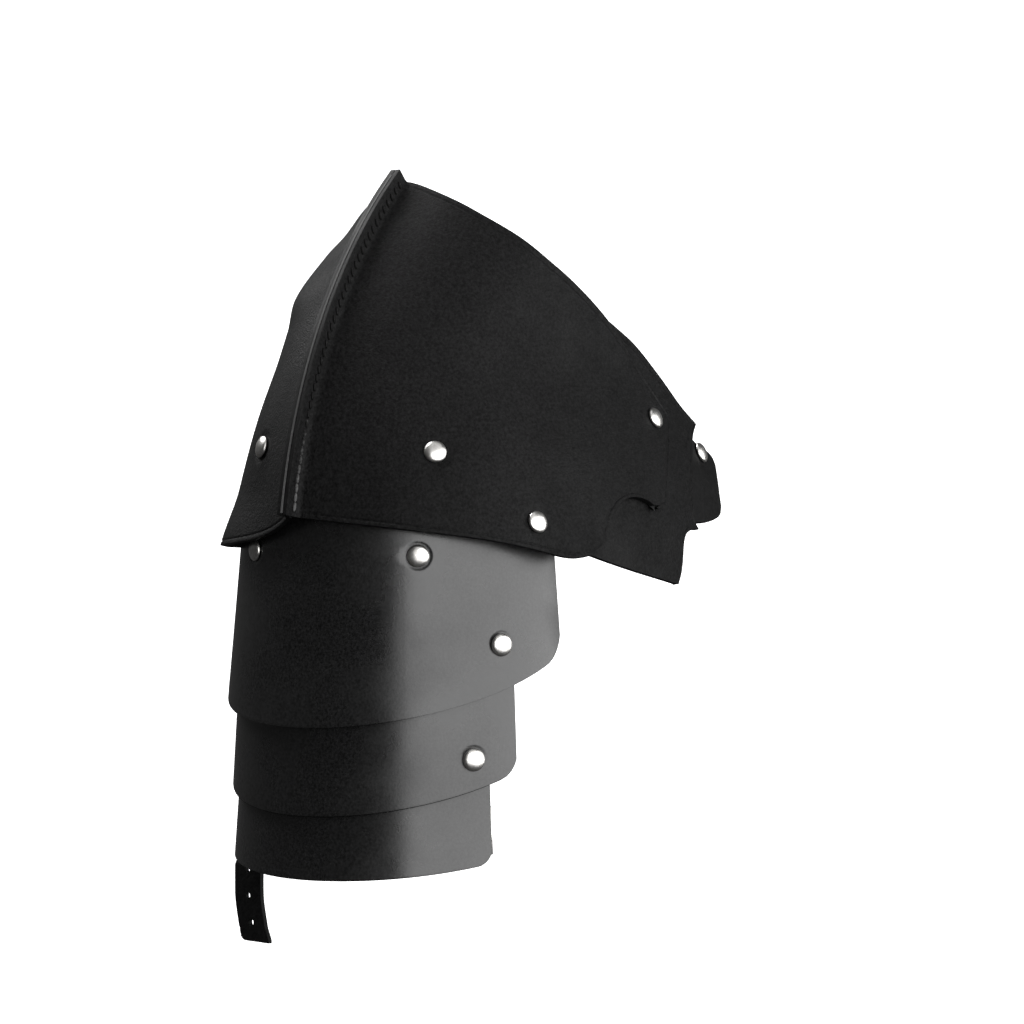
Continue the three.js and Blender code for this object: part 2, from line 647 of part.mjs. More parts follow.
// Seen from its side, the tab is a straight strip that ends in a loop round the bar.
function buckleTab() {
  const rise = (BUCKLE_TAB.topZ - BUCKLE.barZ) * Math.hypot(1, LAMES[2].taper);
  const side = new THREE.Shape();
  side.moveTo(loopRadius, rise);
  side.lineTo(loopRadius, 0);
  side.absarc(0, 0, loopRadius, 0, BUCKLE_TAB.loopStart - 1.5 * Math.PI, true);
  side.lineTo(loopRadius - STRAP_LEATHER, loopRadius * 1.5);
  side.lineTo(loopRadius - STRAP_LEATHER, rise);
  side.holes.push(new THREE.Path().absarc(0, 0, barHole, 0, 2 * Math.PI, false));
  const depth = BUCKLE_TAB.width;
  const strip = new THREE.ExtrudeGeometry(side, {
    depth,
    bevelEnabled: false,
    curveSegments: BUCKLE_TAB.loopSegments,
  });
  strip.translate(0, 0, -depth / 2).rotateY(-Math.PI / 2);
  const slot = new THREE.BoxGeometry(BUCKLE_SLOT.width, BUCKLE_SLOT.depth, BUCKLE_SLOT.height);
  slot.translate(0, -loopRadius + BUCKLE.frame / 2 + BUCKLE_CLEARANCE, 0);
  const slotted = geometryOf(solidOf(strip).subtract(solidOf(slot)));
  return drill(besideLowest(slotted), holesOf([buckleRivet]));
}
add("buckle_tab", buckleTab(), LEATHER);

function buckle() {
  const { width, height, frame, thickness, tongue } = BUCKLE;
  const plate = new THREE.BoxGeometry(width, height, thickness).translate(0, (frame - height) / 2, 0);
  const open = (width - tongue) / 2 - frame;
  let solid = solidOf(plate);
  for (const side of [-1, 1]) {
    const window = new THREE.BoxGeometry(open, height - 2 * frame, 2 * thickness);
    window.translate((side * (open + tongue)) / 2, (frame - height) / 2, 0);
    solid = solid.subtract(solidOf(window));
  }
  return geometryOf(solid);
}
add("arm_buckle", besideLowest(buckle()), RIVET_METAL);

for (const rivet of [...panelRivets, tabRivet, ...lameRivets])
  add(rivet.name, stood(rivetGeometry(rivet.stack), rivet.point, rivet.direction), RIVET_METAL);

export default group;
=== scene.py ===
# Dresses the leather pauldron: fine leather walls over the solids, stitches, rivets, light and camera.
# The tables are in millimetres, as leather is cut, and mm turns them into Blender's metres.
import math

import bpy
from mathutils import Matrix, Vector, kdtree, noise


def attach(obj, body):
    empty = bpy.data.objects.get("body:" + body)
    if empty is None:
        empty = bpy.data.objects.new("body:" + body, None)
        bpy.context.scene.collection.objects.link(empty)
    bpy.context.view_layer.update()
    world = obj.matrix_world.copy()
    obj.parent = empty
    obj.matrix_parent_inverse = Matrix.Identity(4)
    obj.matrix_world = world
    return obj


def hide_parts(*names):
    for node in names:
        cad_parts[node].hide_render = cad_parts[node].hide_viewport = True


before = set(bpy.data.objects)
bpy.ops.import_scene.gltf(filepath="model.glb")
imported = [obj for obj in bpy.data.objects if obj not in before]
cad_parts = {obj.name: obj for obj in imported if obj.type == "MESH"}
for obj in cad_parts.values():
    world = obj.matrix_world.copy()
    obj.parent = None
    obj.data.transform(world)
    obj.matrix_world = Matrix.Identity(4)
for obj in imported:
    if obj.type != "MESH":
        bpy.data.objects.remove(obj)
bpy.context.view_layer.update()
mm = 0.001
body = "root"

bpy.ops.object.select_all(action="DESELECT")

# the camera stands level, to the wearer's right and a little to the front
view = {"away": 1600, "lookAt": (28.4, -40.5, -120), "azimuth": 305, "lens": 112.5, "sensor": 36,
        "clipEnd": 50}


def placeCamera():
    turn = math.radians(view["azimuth"])
    look = Vector((-math.sin(turn), math.cos(turn), 0))
    bpy.ops.object.camera_add(location=(Vector(view["lookAt"]) - look * view["away"]) * mm)
    camera = bpy.context.object
    camera.name = "camera"
    camera.rotation_euler = look.to_track_quat("-Z", "Y").to_euler()
    camera.data.lens = view["lens"]
    camera.data.sensor_width = view["sensor"]
    camera.data.clip_end = view["clipEnd"]
    bpy.context.scene.camera = camera
    return look


viewDirection = placeCamera()
viewRight = viewDirection.cross(Vector((0, 0, 1)))
print("camera placed")


# small sums that every piece uses
def smooth(t):
    t = min(max(t, 0), 1)
    return t * t * (3 - 2 * t)


def blendTo(low, high, t):
    return low + (high - low) * t


def steps(low, high, count):
    return [blendTo(low, high, k / count) for k in range(count + 1)]


def curveThrough(rows, t):
    # a smooth curve through rows of (t, a, b), with t rising
    k = 0
    while k < len(rows) - 2 and rows[k + 1][0] < t:
        k += 1
    before = rows[max(k - 1, 0)]
    start, end = rows[k], rows[k + 1]
    after = rows[min(k + 2, len(rows) - 1)]
    span = end[0] - start[0]
    u = (t - start[0]) / span
    result = []
    for axis in (1, 2):
        slopeIn = (end[axis] - before[axis]) / (end[0] - before[0]) * span
        slopeOut = (after[axis] - start[axis]) / (after[0] - start[0]) * span
        result.append(
            (2 * u**3 - 3 * u**2 + 1) * start[axis]
            + (u**3 - 2 * u**2 + u) * slopeIn
            + (3 * u**2 - 2 * u**3) * end[axis]
            + (u**3 - u**2) * slopeOut
        )
    return result


def valueAt(rows, t):
    # the same curve through rows of (t, value), held level past both ends
    held = min(max(t, rows[0][0]), rows[-1][0])
    return curveThrough([(at, value, value) for at, value in rows], held)[0]


# the cap: two panels that meet in a ridge, an arc in the plane y = 0
cap = {
    "arcCentreX": 178.5, "arcCentreZ": -160, "arcRadius": 277.2, "topZ": 44, "bottomZ": -122.5,
    "finHeight": 8, "foldReach": 2.6, "halfGap": 0.2, "leather": 2.6, "layerGap": 0.8,
    "turnAtZero": 30.4, "turnPerMm": 0.065, "roundRadius": 90, "roundEnd": 78, "chestRadius": 400,
    "flatTop": 20, "flatBottom": 38.6, "flatFromZ": -40, "flatFall": 85,
    "flareDepth": 2.5, "flareFromZ": -108, "flareFall": 30, "flareReach": 60,
    "bowFrom": 0.7, "frontBow": 5, "frontBowPower": 5, "backBow": 12, "backBowSettle": 22,
    "corner": 0.44, "hook": 0.54, "dropPower": 12, "waveHeight": 0.28, "waveLength": 34,
    "waveFadeIn": 30, "creaseFadeIn": 8, "edgeRound": 0.8,
}
# the back panel's turn away from the ridge, as rows of height and degrees: it bulges over the shoulder blade
backTurns = [(-140, 21.5), (-110, 25), (-66, 24), (-30, 24), (-12, 22), (9.4, 28), (21, 33), (44, 35)]
# columns: share of the way down the ridge, millimetres along the leather from the seam, height
topEdge = [
    (0, 2, 44), (0.05, 11, 41.4), (0.1, 32, 33.6), (0.15, 50, 26), (0.2, 73, 16.4), (0.25, 96, 6),
    (0.3, 123, -6), (0.34, 153, -21), (0.38, 182, -37.7), (0.41, 207, -54), (0.44, 231, -70.6),
]
frontEdge = [(0.44, 231, -70.6), (0.48, 227, -92), (0.52, 222, -113), (0.54, 220.5, -116.7)]
backEdge = [
    (0.44, 231, -70.6), (0.52, 226, -92), (0.62, 220, -112), (0.72, 213, -126), (0.8, 208, -133),
    (0.9, 201, -137.5), (1, 192, -139.5),
]
# the round notch in the lower edge; its turns are share of the ridge and angle round the notch's middle
notch = {
    "w": 191.5, "z": -134.5, "reachFront": 30, "reachBack": 24, "height": 22, "endW": 161.3, "endZ": -139.1,
    "turns": [(0.555, 47), (0.58, 62), (0.605, 77), (0.64, 95), (0.69, 113), (0.75, 131), (0.81, 149),
              (0.88, 165), (0.94, 180)],
}


def ridgeAngle(z):
    return math.asin((z - cap["arcCentreZ"]) / cap["arcRadius"])


def arcPoint(angle, out, y=0):
    # a place on the ridge's arc, moved out from the arc and beside the seam
    radius = cap["arcRadius"] + out
    return Vector((
        cap["arcCentreX"] - radius * math.cos(angle),
        y,
        cap["arcCentreZ"] + radius * math.sin(angle),
    ))


def ridgePoint(z, out):
    return arcPoint(ridgeAngle(z), out)


def capTurn(side, z):
    if side > 0:
        return math.radians(cap["turnAtZero"] + cap["turnPerMm"] * z)
    return math.radians(valueAt(backTurns, z))


def capFace(side, w, z):
    # the panels' outer face: side is 1 at the front and -1 at the back
    start, end = capTurn(side, z), math.radians(cap["roundEnd"])
    flat = blendTo(cap["flatTop"], cap["flatBottom"], smooth((cap["flatFromZ"] - z) / cap["flatFall"]))
    turn = start
    x = ridgePoint(z, 0).x + min(w, flat) * math.sin(start)
    y = cap["halfGap"] + cap["leather"] + min(w, flat) * math.cos(start)
    if w > flat:
        turn = min(start + (w - flat) / cap["roundRadius"], end)
        x += cap["roundRadius"] * (math.cos(start) - math.cos(turn))
        y += cap["roundRadius"] * (math.sin(turn) - math.sin(start))
    across = w - flat - (end - start) * cap["roundRadius"]
    if across > 0:
        turn = end + across / cap["chestRadius"]
        x += cap["chestRadius"] * (math.cos(end) - math.cos(turn))
        y += cap["chestRadius"] * (math.sin(turn) - math.sin(end))
    flare = cap["flareDepth"] * smooth((cap["flareFromZ"] - z) / cap["flareFall"])
    flare *= smooth(w / cap["flareReach"])
    return Vector((x - flare * math.cos(turn), -side * (y + flare * math.sin(turn)), z))


def capNormal(side, w, z):
    reach = 0.5  # how far to each side the slope is taken
    along = capFace(side, w + reach, z) - capFace(side, max(w - reach, 0), z)
    up = capFace(side, w, z + reach) - capFace(side, w, z - reach)
    return (along.cross(up) * side).normalized()


def capPoint(side, w, z, depth):
    return capFace(side, w, z) - capNormal(side, w, z) * depth


def notchEnd(share):
    turns = notch["turns"]
    first, last = turns[0][0], turns[-1][0]
    angle = math.radians(valueAt(turns, share))
    reach = notch["reachFront"] if math.cos(angle) > 0 else notch["reachBack"]
    w = notch["w"] + reach * math.cos(angle)
    z = notch["z"] + notch["height"] * math.sin(angle)
    if share < first:
        u = (share - cap["hook"]) / (first - cap["hook"])
        return blendTo(frontEdge[-1][1], w, u), blendTo(frontEdge[-1][2], z, u)
    if share > last:
        u = (share - last) / (1 - last)
        return blendTo(w, notch["endW"], u), blendTo(z, notch["endZ"], u)
    return w, z


def panelEnd(side, share):
    if share <= cap["corner"]:
        return curveThrough(topEdge, share)
    if side < 0:
        return curveThrough(backEdge, share)
    return curveThrough(frontEdge, share) if share <= cap["hook"] else notchEnd(share)


def panelBow(side, s, w):
    if side > 0:
        return -cap["frontBow"] * math.sin(math.pi * s ** cap["frontBowPower"])
    return -cap["backBow"] * (1 - math.exp(-w / cap["backBowSettle"])) * (1 - s)


def dropOf(side, w, z):
    # rows that end past the notch's top run over it first, and only then drop to their ends
    return max(0, notch["z"] + notch["height"] - z) if side > 0 and w > notch["w"] else 0


# lames down the arm, with angles in degrees from straight out, plus to the front
lameSet = {
    "leather": 2.5, "gap": 0.8, "topCorner": 6, "cornerStart": 0.4, "wave": 0.16, "waveLength": 55,
    "grid": 3, "fineGrid": 0.75, "fineMargin": 1, "fineDown": 1.25, "edgeRound": 0.95,
}
lames = [
    {"name": "lame_upper", "top": -116, "bottom": -222.7, "radius": 84, "taper": 0.085,
     "front": 89.5, "back": 92, "rise": 0.0043, "corner": 12},
    {"name": "lame_middle", "top": -172, "bottom": -265.2, "radius": 85.3, "taper": 0.0527,
     "front": 70.7, "back": 80, "rise": 0.0042, "corner": 9},
    {"name": "lame_lower", "top": -228, "bottom": -295.6, "radius": 84.6, "taper": 0.068,
     "front": 62, "back": 74, "rise": 0.0022, "corner": 7.5},
]


def lameRadius(lame, z):
    return lame["radius"] + lame["taper"] * (lame["top"] - z)


def armPoint(angle, radius, z):
    turn = math.radians(angle)
    return Vector((-radius * math.cos(turn), -radius * math.sin(turn), z))


# rivets: their parts' sizes, and the well that a head presses into the leather
rivetMake = {
    "headRadius": 5.45, "headHeight": 2.7, "rim": 0.5, "undercut": 0.35, "rimRise": 0.25, "domeStep": 9,
    "shankRadius": 1.8, "seat": 0.3, "sides": 40, "smoothUnder": 35,
    "tailRadius": 4, "tailHeight": 1.2, "tailGap": 0.2, "tailFlat": 0.8, "tailShoulder": 0.6,
    "strap": 2.2, "tabInset": 0.7, "holeGap": 0.3,
    "dentDepth": 0.5, "dentFlat": 5.7, "sinkShare": 0.8, "capReach": 9.5, "lameReach": 7.3,
}


def stackOf(layers):
    thickness = {"panel": cap["leather"], "strap": rivetMake["strap"], "tab": rivetMake["strap"]}
    return sum(thickness[layer] for layer in layers) + cap["layerGap"] * (len(layers) - 1)


def capRivet(name, side, w, z, layers, depth=0):
    return {"name": name, "side": side, "point": capPoint(side, w, z, depth), "out": capNormal(side, w, z),
            "stack": stackOf(layers)}


def lameRivet(name, k, angle, z, behind):
    radius = lameRadius(lames[k], z)
    inner = radius - lameSet["leather"] - lameSet["gap"]
    if behind != "strap":
        inner = lameRadius(lames[k + 1], z)
    hanging = lameSet["leather"] + lameSet["gap"] + rivetMake["strap"]
    leather = {"strap": rivetMake["strap"], "lame": lameSet["leather"], "strapInside": hanging,
               "tabInside": hanging + rivetMake["tabInset"]}[behind]
    return {"name": name, "point": armPoint(angle, radius, z), "out": armPoint(angle, 1, 0),
            "stack": radius - inner + leather, "lame": k, "angle": angle, "z": z}


tabDepth = 2 * (cap["leather"] + cap["layerGap"])
capRivets = [
    capRivet("rivet_panel_front", 1, 63.1, -91.5, ["panel", "strap"]),
    capRivet("rivet_panel_low", 1, 119.3, -124.8, ["panel", "panel"]),
    capRivet("rivet_panel_chest", 1, 213.8, -72.1, ["panel", "panel", "tab"]),
    capRivet("rivet_panel_back", -1, 38, -88.3, ["panel", "strap"]),
]
tabRivet = capRivet("rivet_tab", 1, 282.9, -86.5, ["tab"], tabDepth)
lameRivets = [
    lameRivet("rivet_upper_front", 0, 38.3, -140.8, "strap"),
    lameRivet("rivet_upper_back", 0, -26.5, -138.5, "strap"),
    lameRivet("rivet_middle_front", 0, 64.8, -183.2, "lame"),
    lameRivet("rivet_middle_back", 0, -72, -183.2, "lame"),
    lameRivet("rivet_lower_front", 1, 55.7, -237.5, "tabInside"),
    lameRivet("rivet_lower_back", 1, -66, -237.5, "strapInside"),
]
allRivets = capRivets + [tabRivet] + lameRivets


def pressedIn(point, rivets, reach):
    # how far the leather is pushed in near its rivets
    depth = 0
    for rivet in rivets:
        away = (point - rivet["point"]).length
        slope = (away - rivetMake["dentFlat"]) / (reach - rivetMake["dentFlat"])
        depth = max(depth, rivetMake["dentDepth"] * (1 - smooth(slope)))
    return depth


def wave(point, length, height):
    return noise.noise(point / length) * height


# finishes
def newMaterial(name):
    material = bpy.data.materials.new(name)
    material.use_nodes = True
    return material, material.node_tree.nodes, material.node_tree.links


leatherLooks = {
    "cap": {"dark": 0.0003, "light": 0.0088, "roughLow": 0.5, "roughHigh": 0.72, "grain": 1200,
            "grainDepth": 0.22, "mottle": 650, "bump": 0.9, "specular": 0.08},
    "lame": {"dark": 0.0002, "light": 0.015, "roughLow": 0.19, "roughHigh": 0.38, "grain": 1300,
             "grainDepth": 0.05, "mottle": 800, "bump": 0.35, "specular": 0.62},
    "strap": {"dark": 0.001, "light": 0.006, "roughLow": 0.5, "roughHigh": 0.68, "grain": 750,
              "grainDepth": 0.16, "mottle": 400, "bump": 0.7, "specular": 0.1},
    "flesh": {"dark": 0.012, "light": 0.028, "roughLow": 0.85, "roughHigh": 0.95, "grain": 900,
              "grainDepth": 0.25, "mottle": 240, "bump": 0.8, "specular": 0.2},
    "edge": {"dark": 0.001, "light": 0.006, "roughLow": 0.5, "roughHigh": 0.7, "grain": 1600,
             "grainDepth": 0.12, "mottle": 500, "bump": 0.5, "specular": 0.08},
    # painted shade: the rounded edges are near-black and matte, darker than the faces, to draw a dark line
    # where shade falls along each edge
    "paintedEdgeShade": {"dark": 0.0004, "light": 0.0015, "roughLow": 0.6, "roughHigh": 0.8, "grain": 1600,
                  "grainDepth": 0.05, "mottle": 500, "bump": 0.3, "specular": 0.03},
}
# what all the leathers share: how the mottle is spread, where handling wears the finish, and the pores
leatherMake = {
    "mottleDetail": 6, "mottleRough": 0.65, "toneFrom": 0.35, "toneTo": 0.7,
    "darkBlue": 1.03, "lightBlue": 1.02,
    "wearScale": 26, "wearDetail": 4, "wearFrom": 0.3, "wearTo": 0.7, "poreShare": 0.45, "poreDetail": 5,
}


def makeLeather(name, look):
    material, nodes, links = newMaterial(name)
    shader = nodes["Principled BSDF"]
    shader.inputs["Specular IOR Level"].default_value = look["specular"]
    place = nodes.new("ShaderNodeTexCoord")

    mottle = nodes.new("ShaderNodeTexNoise")
    mottle.inputs["Scale"].default_value = look["mottle"]
    mottle.inputs["Detail"].default_value = leatherMake["mottleDetail"]
    mottle.inputs["Roughness"].default_value = leatherMake["mottleRough"]
    links.new(place.outputs["Object"], mottle.inputs["Vector"])

    tone = nodes.new("ShaderNodeValToRGB")
    dark, light = look["dark"], look["light"]
    tone.color_ramp.elements[0].position = leatherMake["toneFrom"]
    tone.color_ramp.elements[0].color = (dark, dark, dark * leatherMake["darkBlue"], 1)
    tone.color_ramp.elements[1].position = leatherMake["toneTo"]
    tone.color_ramp.elements[1].color = (light, light, light * leatherMake["lightBlue"], 1)
    links.new(mottle.outputs["Fac"], tone.inputs["Fac"])
    links.new(tone.outputs["Color"], shader.inputs["Base Color"])

    handling = nodes.new("ShaderNodeTexNoise")  # the finish is worn a little where it is handled
    handling.inputs["Scale"].default_value = leatherMake["wearScale"]
    handling.inputs["Detail"].default_value = leatherMake["wearDetail"]
    links.new(place.outputs["Object"], handling.inputs["Vector"])
    rough = nodes.new("ShaderNodeMapRange")
    rough.inputs["From Min"].default_value = leatherMake["wearFrom"]
    rough.inputs["From Max"].default_value = leatherMake["wearTo"]
    rough.inputs["To Min"].default_value = look["roughLow"]
    rough.inputs["To Max"].default_value = look["roughHigh"]
    links.new(handling.outputs["Fac"], rough.inputs["Value"])
    links.new(rough.outputs["Result"], shader.inputs["Roughness"])

    grain = nodes.new("ShaderNodeTexVoronoi")
    grain.feature = "SMOOTH_F1"
    grain.inputs["Scale"].default_value = look["grain"]
    links.new(place.outputs["Object"], grain.inputs["Vector"])
    pores = nodes.new("ShaderNodeTexNoise")
    pores.inputs["Scale"].default_value = look["grain"] * leatherMake["poreShare"]
    pores.inputs["Detail"].default_value = leatherMake["poreDetail"]
    links.new(place.outputs["Object"], pores.inputs["Vector"])
    both = nodes.new("ShaderNodeMath")
    both.operation = "ADD"
    links.new(grain.outputs["Distance"], both.inputs[0])
    links.new(pores.outputs["Fac"], both.inputs[1])
    bump = nodes.new("ShaderNodeBump")
    bump.inputs["Strength"].default_value = look["bump"]
    bump.inputs["Distance"].default_value = look["grainDepth"] * mm
    links.new(both.outputs["Value"], bump.inputs["Height"])
    links.new(bump.outputs["Normal"], shader.inputs["Normal"])
    return material


metalLook = {
    "dark": (0.42, 0.41, 0.39, 1), "light": (0.72, 0.71, 0.69, 1), "toneFrom": 0.3, "toneTo": 0.65,
    "wearScale": 420, "wearDetail": 5, "dull": 0.42, "glossy": 0.22, "bump": 0.25, "bumpDepth": 0.05,
}


def makeRivetMetal():
    material, nodes, links = newMaterial("nickel_rivet")
    shader = nodes["Principled BSDF"]
    shader.inputs["Metallic"].default_value = 1
    place = nodes.new("ShaderNodeTexCoord")
    wear = nodes.new("ShaderNodeTexNoise")
    wear.inputs["Scale"].default_value = metalLook["wearScale"]
    wear.inputs["Detail"].default_value = metalLook["wearDetail"]
    links.new(place.outputs["Object"], wear.inputs["Vector"])
    tone = nodes.new("ShaderNodeValToRGB")
    tone.color_ramp.elements[0].position = metalLook["toneFrom"]
    tone.color_ramp.elements[0].color = metalLook["dark"]
    tone.color_ramp.elements[1].position = metalLook["toneTo"]
    tone.color_ramp.elements[1].color = metalLook["light"]
    links.new(wear.outputs["Fac"], tone.inputs["Fac"])
    links.new(tone.outputs["Color"], shader.inputs["Base Color"])
    rough = nodes.new("ShaderNodeMapRange")
    rough.inputs["To Min"].default_value = metalLook["dull"]
    rough.inputs["To Max"].default_value = metalLook["glossy"]
    links.new(wear.outputs["Fac"], rough.inputs["Value"])
    links.new(rough.outputs["Result"], shader.inputs["Roughness"])
    bump = nodes.new("ShaderNodeBump")
    bump.inputs["Strength"].default_value = metalLook["bump"]
    bump.inputs["Distance"].default_value = metalLook["bumpDepth"] * mm
    links.new(wear.outputs["Fac"], bump.inputs["Height"])
    links.new(bump.outputs["Normal"], shader.inputs["Normal"])
    return material


# the lighter tone low on the seam is a painted highlight, set by height
threadLook = {
    "paintedHighlight": 0.07, "specular": 0.1, "fibreScale": 900, "highlightFromZ": -70, "highlightToZ": -125, "highlightLow": -0.3,
    "highlightHigh": 0.45, "toneFrom": 0.3, "toneTo": 0.8, "bump": 0.6, "bumpDepth": 0.08,
}


def makeThread(name, colour, roughness):
    # the colour turns lighter down the seam, a painted highlight on the lower stitches
    highlightTone = threadLook["paintedHighlight"]
    material, nodes, links = newMaterial(name)
    shader = nodes["Principled BSDF"]
    shader.inputs["Roughness"].default_value = roughness
    shader.inputs["Specular IOR Level"].default_value = threadLook["specular"]
    place = nodes.new("ShaderNodeTexCoord")
    fibre = nodes.new("ShaderNodeTexNoise")
    fibre.inputs["Scale"].default_value = threadLook["fibreScale"]
    links.new(place.outputs["Object"], fibre.inputs["Vector"])
    height = nodes.new("ShaderNodeSeparateXYZ")
    links.new(place.outputs["Object"], height.inputs["Vector"])
    # painted highlight: lighter from the seam's middle down to its lower end
    paintedHighlight = nodes.new("ShaderNodeMapRange")
    paintedHighlight.inputs["From Min"].default_value = threadLook["highlightFromZ"] * mm
    paintedHighlight.inputs["From Max"].default_value = threadLook["highlightToZ"] * mm
    paintedHighlight.inputs["To Min"].default_value = threadLook["highlightLow"]
    paintedHighlight.inputs["To Max"].default_value = threadLook["highlightHigh"]
    links.new(height.outputs["Z"], paintedHighlight.inputs["Value"])
    patchy = nodes.new("ShaderNodeMath")
    patchy.operation = "ADD"
    links.new(paintedHighlight.outputs["Result"], patchy.inputs[0])
    links.new(fibre.outputs["Fac"], patchy.inputs[1])
    tone = nodes.new("ShaderNodeValToRGB")
    tone.color_ramp.elements[0].position = threadLook["toneFrom"]
    tone.color_ramp.elements[0].color = (colour, colour, colour, 1)
    tone.color_ramp.elements[1].position = threadLook["toneTo"]
    tone.color_ramp.elements[1].color = (highlightTone, highlightTone, highlightTone, 1)
    links.new(patchy.outputs["Value"], tone.inputs["Fac"])
    links.new(tone.outputs["Color"], shader.inputs["Base Color"])
    bump = nodes.new("ShaderNodeBump")
    bump.inputs["Strength"].default_value = threadLook["bump"]
    bump.inputs["Distance"].default_value = threadLook["bumpDepth"] * mm
    links.new(fibre.outputs["Fac"], bump.inputs["Height"])
    links.new(bump.outputs["Normal"], shader.inputs["Normal"])
    return material


capLeather = makeLeather("cap_leather", leatherLooks["cap"])
lameLeather = makeLeather("lame_leather", leatherLooks["lame"])
strapLeather = makeLeather("strap_leather", leatherLooks["strap"])
fleshSide = makeLeather("leather_flesh_side", leatherLooks["flesh"])
cutEdge = makeLeather("leather_cut_edge", leatherLooks["edge"])
# the painted shade that every rounded edge takes
paintedEdgeShade = makeLeather("leather_edge_painted_shade", leatherLooks["paintedEdgeShade"])
rivetMetal = makeRivetMetal()
# near-black thread, darker than the leather: painted shade for the shadow along the stitch line
waxedThreadPaintedShade = makeThread("waxed_thread_painted_shade", colour=0.0008, roughness=0.5)
# the pale strip on the ridge; like the thread, it turns lighter low on the seam as painted highlight
paleSeamStrip = makeThread("pale_seam_strip", colour=0.035, roughness=0.6)
print("materials made")


def gridPiece(name, columns, rows, pointAt):
    # a grid whose points are put, one by one, where pointAt(column, row) says, in millimetres
    bpy.ops.mesh.primitive_grid_add(x_subdivisions=columns, y_subdivisions=rows, size=2)
    piece = bpy.context.object
    piece.name = piece.data.name = name
    for vertex in piece.data.vertices:
        column = round((vertex.co.x + 1) / 2 * columns)
        row = round((vertex.co.y + 1) / 2 * rows)
        vertex.co = pointAt(column, row) * mm
    return piece


def faceOutward(piece, outward):
    # turns a grid over if its middle face looks the other way
    middle = piece.data.polygons[len(piece.data.polygons) // 2]
    if middle.normal.dot(outward) < 0:
        bpy.ops.object.mode_set(mode="EDIT")
        bpy.ops.mesh.select_all(action="SELECT")
        bpy.ops.mesh.flip_normals()
        bpy.ops.object.mode_set(mode="OBJECT")


# the wall's slots after its face's own, and which of its edges are rounded
wallMake = {
    "fleshSlot": 1, "cutSlot": 2, "paintedEdgeShadeSlot": 3, "segments": 3, "sharperThan": 55, "smoothUnder": 40,
}


def coat(piece, faceMaterial):
    for material in (faceMaterial, fleshSide, cutEdge, paintedEdgeShade):
        piece.data.materials.append(material)


def thickenOnly(piece, leather):
    wall = piece.modifiers.new("wall", "SOLIDIFY")
    wall.thickness = leather * mm
    wall.offset = -1
    wall.material_offset = wallMake["fleshSlot"]
    wall.material_offset_rim = wallMake["cutSlot"]
    bpy.ops.object.modifier_apply(modifier="wall")


def roundEdges(piece, edgeRound):
    rounded = piece.modifiers.new("rounded", "BEVEL")
    rounded.width = edgeRound * mm
    rounded.segments = wallMake["segments"]
    rounded.limit_method = "ANGLE"
    rounded.angle_limit = math.radians(wallMake["sharperThan"])
    # the rounded edges take the painted shade, a near-black line along each edge
    rounded.material = wallMake["paintedEdgeShadeSlot"]
    rounded.use_clamp_overlap = True
    bpy.ops.object.modifier_apply(modifier="rounded")
    bpy.ops.object.shade_smooth_by_angle(angle=math.radians(wallMake["smoothUnder"]))


def thicken(piece, leather, faceMaterial, edgeRound):
    coat(piece, faceMaterial)
    thickenOnly(piece, leather)
    roundEdges(piece, edgeRound)


def settle(piece, slotName, *nodes):
    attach(piece, body)
    if nodes:
        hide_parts(*nodes)
    piece.select_set(False)


# the line that is pressed into the leather along its free edges
crease = {
    "inset": 2.1, "halfWidth": 0.75, "depth": 0.38, "reach": 7, "step": 0.5, "spacing": 0.3,
    "shortestRow": 21,
}
creaseSteps = round(crease["reach"] / crease["step"])


def makeOutline(corners):
    # finds how near a place on the leather is to an outline, given as a chain of (w, z) corners
    places = []
    for (w0, z0), (w1, z1) in zip(corners, corners[1:]):
        count = max(1, round(math.hypot(w1 - w0, z1 - z0) / crease["spacing"]))
        places += [(blendTo(w0, w1, k / count), blendTo(z0, z1, k / count), 0) for k in range(count)]
    tree = kdtree.KDTree(len(places))
    for k, place in enumerate(places):
        tree.insert(place, k)
    tree.balance()
    return tree


def creased(outline, w, z):
    offset = abs(outline.find((w, z, 0))[2] - crease["inset"]) / crease["halfWidth"]
    return crease["depth"] * (1 - smooth(offset))


def lastShares(length):
    # shares of a row's last stretch, close together where the crease runs
    return steps(1 - crease["reach"] / length, 1, creaseSteps)[1:]


def beforeLast(last):
    # the share one step before a last stretch
    return 2 * last[0] - last[1]


panelGrid = {
    "finColumns": 4, "foldColumns": 5, "columns": 124, "topRows": 84, "edgeRows": 22, "notchRows": 76,
}


def panelShares(side):
    shares = steps(0, cap["corner"], panelGrid["topRows"])
    last = lastShares(cap["topZ"] - cap["bottomZ"])
    bottom = beforeLast(last)
    if side > 0:
        shares += steps(cap["corner"], cap["hook"], panelGrid["edgeRows"])[1:]
        shares += steps(cap["hook"], bottom, panelGrid["notchRows"])[1:]
    else:
        shares += steps(cap["corner"], bottom, panelGrid["edgeRows"] + panelGrid["notchRows"])[1:]
    return shares + last


def panelZ(side, share, s):
    endW, endZ = panelEnd(side, share)
    seamZ = blendTo(cap["topZ"], cap["bottomZ"], share)
    low = max(0, (share - cap["bowFrom"]) / (1 - cap["bowFrom"])) ** 2
    drop = dropOf(side, endW, endZ)
    bow = panelBow(side, s, s * endW) * low
    return blendTo(seamZ, endZ + drop, s) - drop * s ** cap["dropPower"] + bow


